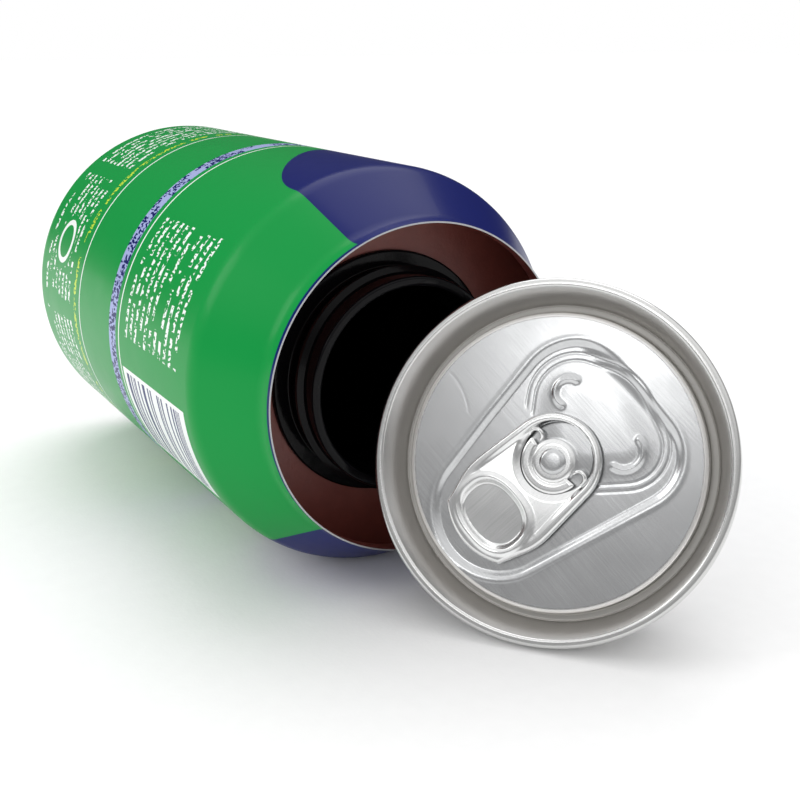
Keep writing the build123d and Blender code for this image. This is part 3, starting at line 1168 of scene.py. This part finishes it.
class CAN_OT_tab(bpy.types.Operator):
    """Pull tab with its curled rim and finger pad, and the tongue under the rivet"""

    bl_idname = "can.tab"
    bl_label = "Pull tab"

    def execute(self, context):
        cell = context.scene.lid_settings.tab_cell / MM
        # The tab has paler tones than the end's stock: painted light that stands in for the brighter
        # reflection of its web.
        metal = rolled_aluminium("rolled_aluminium_tab_painted_light", radians(48), 0.2, 0.05, "dfe0e0", "eeeeee")
        tab = pressed(
            "pull_tab",
            lambda x, y: np.minimum(tab_inside(x, y), window_outside(x, y)),
            tab_height,
            TAB_FLOOR,
            cell,
            (TAIL - 0.3, -TAB_HALF_WIDTH),
            (NOSE_RADIUS + 0.3, TAB_HALF_WIDTH),
        )
        finish_piece(tab, TAB, "tab", "tab_lever", [metal], 60)
        low, high = (-5.2, -5.2), (3.6, 5.2)
        tongue = pressed("rivet_tongue", tongue_inside, tongue_height, TONGUE_UNDERSIDE, cell, low, high)
        finish_piece(tongue, TAB, "tongue", "tab_tongue", [metal], 60)
        for side, x, y, turn in (("left", 0.7, 4.6, 22), ("right", 1.3, -4.35, -8)):
            hook = tab_hook("tab_hook_" + side, x, y, radians(turn))
            finish_piece(hook, TAB, "tab", "tab_lever", [metal], 60)
        return {"FINISHED"}


class CAN_OT_cap(bpy.types.Operator):
    """Ribbed screw cap glued under the end"""

    bl_idname = "can.cap"
    bl_label = "Screw cap"

    def execute(self, context):
        ribs = context.scene.lid_settings.cap_ribs
        skirt = [
            (0, -CAP_ROOF),
            (CAP_RADIUS, -CAP_ROOF),
            (CAP_RADIUS, RIB_TOP),
            (CAP_RADIUS, -10.5),
            (CAP_RADIUS, RIB_FOOT),
            (CAP_RADIUS, -CAP_FOOT),
            (CAP_BORE, -CAP_FOOT),
            (CAP_BORE, -CAP_ROOF - CAP_TOP),
            (0, -CAP_ROOF - CAP_TOP),
        ]
        line = rounded(skirt[:3], [0.6], 5) + skirt[3:]
        cap = turned("cap_skirt", line, ribs * 6)
        places = vertices_of(cap.data) / MM
        radius = np.hypot(places[:, 0], places[:, 1])
        angle = np.arctan2(places[:, 1], places[:, 0])
        in_ribs = (places[:, 2] < RIB_TOP + 0.5) & (places[:, 2] > RIB_FOOT - 0.3)
        on_skirt = (radius > CAP_RADIUS - 0.05) & in_ribs
        depth = np.where(on_skirt, RIB_DEPTH * (0.5 - 0.5 * np.cos(angle * ribs)), 0)
        places[:, :2] *= ((radius - depth) / np.maximum(radius, 1e-6))[:, None]
        write_vertices(cap.data, places * MM)
        thread = screw_ridge("cap_ridge", CAP_BORE, CAP_CREST, -CAP_FOOT + CAP_RIDGE_LIFT)
        cap = joined([cap, thread])
        finish_piece(cap, LID, "lid", "screw_cap", [moulded_satin()], 40)
        return {"FINISHED"}


# Camera: its place from the middle of the mouth, the way it looks and how far down.
EYE_AHEAD = 0.14545
EYE_SIDE = -0.08917
EYE_HEIGHT = 0.05331
LOOK_ROUND = radians(149.77)
LOOK_DOWN = radians(17.78)

# The room that gloss mirrors: height on the sky's sphere and brightness.
ROOM_LOW = 0.9
ROOM_HIGH = (0.75, 1.1)
ROOM_STEPS = ((0.03, 0.6), (0.12, 0.3), (0.3, 0.36), (0.5, 0.8))
FILL_LIGHT = 0.84
PAST_CAN = (-0.864, 0.503, 0)


def pale(value):
    """Neutral colour of that brightness."""
    return (value, value, value, 1)


def facing(way):
    """Rotation that turns a camera or a lamp to face along a direction."""
    return way.to_track_quat("-Z", "Y").to_euler()


def surround(scene, strength):
    """White to the camera, an even fill to matt surfaces, and a shaded room to glossy ones."""
    world = bpy.data.worlds.new("studio")
    scene.world = world
    world.use_nodes = True
    tree = world.node_tree
    background = tree.nodes["Background"]
    background.inputs["Strength"].default_value = strength
    direction = add_node(tree, "ShaderNodeTexCoord").outputs["Generated"]
    axes = add_node(tree, "ShaderNodeSeparateXYZ", inputs={"Vector": direction})
    heights = add_node(tree, "ShaderNodeValToRGB", inputs={"Fac": axes.outputs["Z"]})
    ramp = heights.color_ramp
    ramp.elements[0].position = 0.0
    ramp.elements[0].color = pale(ROOM_LOW)
    ramp.elements[1].position = ROOM_HIGH[0]
    ramp.elements[1].color = pale(ROOM_HIGH[1])
    for position, value in ROOM_STEPS:
        ramp.elements.new(position).color = pale(value)
    # The far side of the room is dark, so gloss seen at a flat angle doesn't wash the print out.
    away = add_node(
        tree, "ShaderNodeVectorMath", {"operation": "DOT_PRODUCT"}, {0: direction, 1: PAST_CAN}
    ).outputs["Value"]
    ends = {"Value": away, "From Min": 0.1, "From Max": 0.6, "To Min": 1, "To Max": 0.2}
    shade = add_node(tree, "ShaderNodeMapRange", inputs=ends)
    room = add_node(
        tree, "ShaderNodeVectorMath", {"operation": "SCALE"}, {0: heights.outputs[0], "Scale": shade}
    )
    colour = pale(FILL_LIGHT)
    rays = add_node(tree, "ShaderNodeLightPath")
    for ray, seen in (("Is Glossy Ray", room), ("Is Camera Ray", pale(1))):
        inputs = {0: rays.outputs[ray], 6: colour, 7: seen}
        colour = add_node(tree, "ShaderNodeMix", {"data_type": "RGBA"}, inputs).outputs[2]
    tree.links.new(colour, background.inputs["Color"])


def lights(eye):
    """Two softboxes, and a broad light from above and behind."""
    # The panel's highlight: a softbox where the upper half of the panel mirrors it to the camera.
    bright_spot = LID @ Vector((0.006, 0.018, PANEL_TOP * MM))
    normal = (LID.to_3x3() @ Vector((0, 0, 1))).normalized()
    mirrored = (bright_spot - eye).reflect(normal).normalized()
    softboxes = {
        "panel_softbox": (bright_spot + mirrored * 0.5, bright_spot, 0.09, 0.075),
        "left_softbox": (Vector((-0.15, -0.5, 0.35)), Vector((0.06, 0.0, 0.0)), 0.3, 0.8),
    }
    for name, (place, target, size, power) in softboxes.items():
        bpy.ops.object.light_add(type="AREA", location=place, rotation=facing(target - place))
        lamp = bpy.context.object
        lamp.name = name
        lamp.data.shape = "RECTANGLE"
        lamp.data.size = lamp.data.size_y = size
        lamp.data.energy = power
    # From behind, so that the soft shadows fall towards the camera.
    downwards = facing(Vector((0.45, -0.35, -1)))
    bpy.ops.object.light_add(type="SUN", location=(0, 0, 1), rotation=downwards)
    lamp = bpy.context.object
    lamp.name = "top_light"
    lamp.data.energy = 1.1
    lamp.data.angle = radians(50)


class CAN_OT_stage(bpy.types.Operator):
    """Pale floor, soft studio light and camera"""

    bl_idname = "can.stage"
    bl_label = "Stage"

    def execute(self, context):
        settings = context.scene.stage_settings
        scene = context.scene
        scene.view_settings.view_transform = "Standard"
        scene.view_settings.look = "None"
        deselect_all()
        bpy.ops.mesh.primitive_plane_add(size=6, location=(0, 0, 0))
        floor = context.object
        floor.name = "floor"
        floor.data.transform(Matrix.Translation((0, 0, SHELL_LOW.z)))
        floor.data.materials.append(matt_backdrop())

        eye = Vector((SHELL_HIGH.x + EYE_AHEAD, EYE_SIDE, EYE_HEIGHT))
        level = cos(LOOK_DOWN)
        forward = Vector((cos(LOOK_ROUND) * level, sin(LOOK_ROUND) * level, -sin(LOOK_DOWN)))
        bpy.ops.object.camera_add(location=eye, rotation=facing(forward))
        camera = context.object
        camera.name = "camera"
        camera.data.sensor_width = 36
        camera.data.lens = settings.focal_length
        camera.data.clip_start = 0.01
        scene.camera = camera
        surround(scene, settings.sky)
        lights(eye)
        return {"FINISHED"}


class CAN_PT_panel(bpy.types.Panel):
    """Buttons and settings of the can"""

    bl_label = "Hidden-compartment can"
    bl_idname = "CAN_PT_panel"
    bl_space_type = "VIEW_3D"
    bl_region_type = "UI"
    bl_category = "Can"

    def draw(self, context):
        layout = self.layout
        groups = (context.scene.can_settings, context.scene.lid_settings, context.scene.stage_settings)
        for group in groups:
            box = layout.box()
            for name in group.__annotations__:
                box.prop(group, name)
        for operator in OPERATORS:
            layout.operator(operator.bl_idname)


OPERATORS = (CAN_OT_stage, CAN_OT_shell, CAN_OT_jar, CAN_OT_fillings, CAN_OT_end, CAN_OT_tab, CAN_OT_cap)
CLASSES = (CanSettings, LidSettings, StageSettings) + OPERATORS + (CAN_PT_panel,)


def register():
    """Makes the settings, buttons and panel known."""
    for cls in CLASSES:
        bpy.utils.register_class(cls)
    bpy.types.Scene.can_settings = bpy.props.PointerProperty(type=CanSettings)
    bpy.types.Scene.lid_settings = bpy.props.PointerProperty(type=LidSettings)
    bpy.types.Scene.stage_settings = bpy.props.PointerProperty(type=StageSettings)


def unregister():
    """Takes them away again."""
    del bpy.types.Scene.stage_settings
    del bpy.types.Scene.lid_settings
    del bpy.types.Scene.can_settings
    for cls in reversed(CLASSES):
        bpy.utils.unregister_class(cls)


def main():
    """Builds every piece in turn."""
    register()
    bpy.ops.can.stage()
    bpy.ops.can.shell()
    bpy.ops.can.jar()
    bpy.ops.can.fillings()
    bpy.ops.can.end()
    bpy.ops.can.tab()
    bpy.ops.can.cap()


if __name__ == "__main__":
    main()
